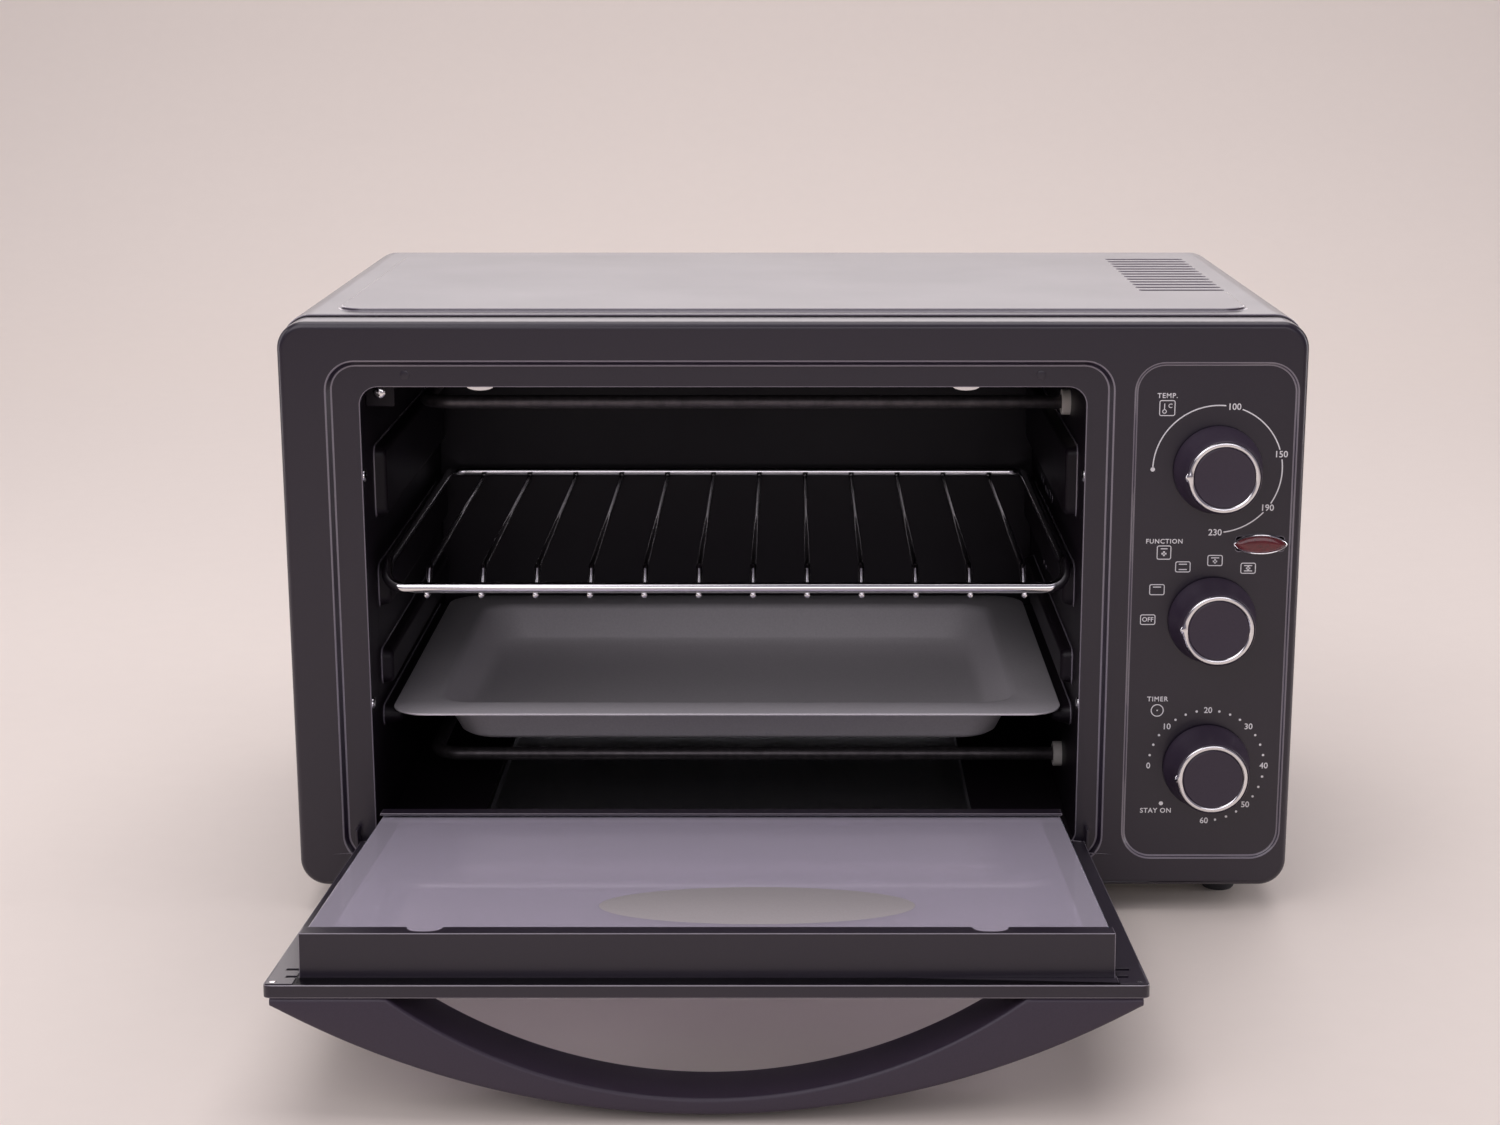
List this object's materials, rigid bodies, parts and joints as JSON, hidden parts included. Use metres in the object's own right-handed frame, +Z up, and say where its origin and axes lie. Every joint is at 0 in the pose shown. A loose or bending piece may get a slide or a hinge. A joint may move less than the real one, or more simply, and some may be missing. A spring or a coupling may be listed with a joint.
{
  "type": "toaster oven",
  "caption": "Countertop toaster oven with a drop-down glass door, bow handle, wire rack, baking pan and a side panel of knobs.",
  "frame": {"origin": "on the table, under the centre of the space the oven takes with its door open", "axes": "+Z up, -Y out through the door, +X towards the controls as seen from the front"},
  "size_m": [0.45, 0.4984, 0.272],
  "materials": {
    "black_paint": "satin black powder coat with a faint violet cast",
    "cavity_coating": "dark non-stick coating",
    "zinc_steel": "zinc plated",
    "black_rubber": "matt",
    "chrome": "polished",
    "element_sheath": "heat-darkened",
    "ceramic": "unglazed ceramic",
    "aluminium_sheet": "mill",
    "control_body": "moulded",
    "black_plastic": "fine texture",
    "red_lens": "translucent",
    "clear_glass": "clear",
    "door_glass": "tempered, lightly tinted",
    "pan_coating": "satin"
  },
  "bodies": {
    "oven": {"front_fascia": "black_paint", "outer_cover": "black_paint", "rear_panel": "black_paint", "base_plate": "zinc_steel", "foot_front_left": "black_rubber", "foot_rear_left": "black_rubber", "foot_front_right": "black_rubber", "foot_rear_right": "black_rubber", "foot_screws": "zinc_steel", "cavity_roof": "cavity_coating", "cavity_floor": "cavity_coating", "cavity_back_wall": "cavity_coating", "cavity_left_wall": "cavity_coating", "cavity_right_wall": "cavity_coating", "cavity_screw": "chrome", "upper_heating_element": "element_sheath", "lower_heating_element": "element_sheath", "element_beads": "ceramic", "fan_case": "zinc_steel", "fan_motor": "zinc_steel", "thermostat": "control_body", "function_switch": "control_body", "timer_clockwork": "control_body", "timer_bell": "zinc_steel", "pilot_bezel": "chrome", "pilot_lens": "red_lens", "pilot_neon": "clear_glass", "terminal_block": "control_body", "cord_inlet": "black_plastic", "heat_shield": "zinc_steel", "hinge_brackets": "black_paint", "hinge_pins": "zinc_steel", "crumb_tray_guides": "zinc_steel", "rear_spacers": "black_plastic", "panel_screws": "zinc_steel", "door_catches": "chrome"},
    "door": {"door_panel": "black_paint", "door_top_rail": "black_paint", "door_bottom_rail": "black_paint", "door_left_rail": "black_paint", "door_right_rail": "black_paint", "door_glass": "door_glass", "door_left_clip": "black_paint", "door_right_clip": "black_paint", "door_handle": "black_plastic", "handle_screws": "zinc_steel"},
    "rack": {"wire_rack": "chrome"},
    "pan": {"baking_pan": "pan_coating"},
    "crumb_drawer": {"crumb_tray": "aluminium_sheet"},
    "temperature_control": {"temperature_knob": "black_plastic", "temperature_knob_ring": "chrome", "temperature_shaft": "zinc_steel"},
    "function_control": {"function_knob": "black_plastic", "function_knob_ring": "chrome", "function_shaft": "zinc_steel"},
    "timer_control": {"timer_knob": "black_plastic", "timer_knob_ring": "chrome", "timer_shaft": "zinc_steel"},
    "fan": {"fan_blade": "aluminium_sheet", "fan_shaft": "zinc_steel"}
  },
  "joints": [
    {"name": "door_hinge", "type": "hinge", "parent": "oven", "child": "door", "pos_m": [0, -0.03128, 0.031], "axis": [1, 0, 0], "range_deg": [-84.75, 0]},
    {"name": "rack_slide", "type": "slide", "parent": "oven", "child": "rack", "axis": [0, -1, 0], "range_m": [0, 0.15]},
    {"name": "pan_slide", "type": "slide", "parent": "oven", "child": "pan", "axis": [0, -1, 0], "range_m": [0, 0.166]},
    {"name": "crumb_tray_slide", "type": "slide", "parent": "oven", "child": "crumb_drawer", "axis": [0, -1, 0], "range_m": [0, 0.15]},
    {"name": "temperature_turn", "type": "hinge", "parent": "oven", "child": "temperature_control", "pos_m": [0.186, -0.04078, 0.2049], "axis": [0, 1, 0], "range_deg": [0, 270]},
    {"name": "function_turn", "type": "hinge", "parent": "oven", "child": "function_control", "pos_m": [0.186, -0.04078, 0.1369], "axis": [0, 1, 0], "range_deg": [0, 120]},
    {"name": "timer_turn", "type": "hinge", "parent": "oven", "child": "timer_control", "pos_m": [0.186, -0.04078, 0.0689], "axis": [0, 1, 0], "range_deg": [-45, 270]},
    {"name": "fan_spin", "type": "hinge", "parent": "oven", "child": "fan", "pos_m": [0.139, 0.14122, 0.152], "axis": [1, 0, 0], "continuous": true}
  ]
}
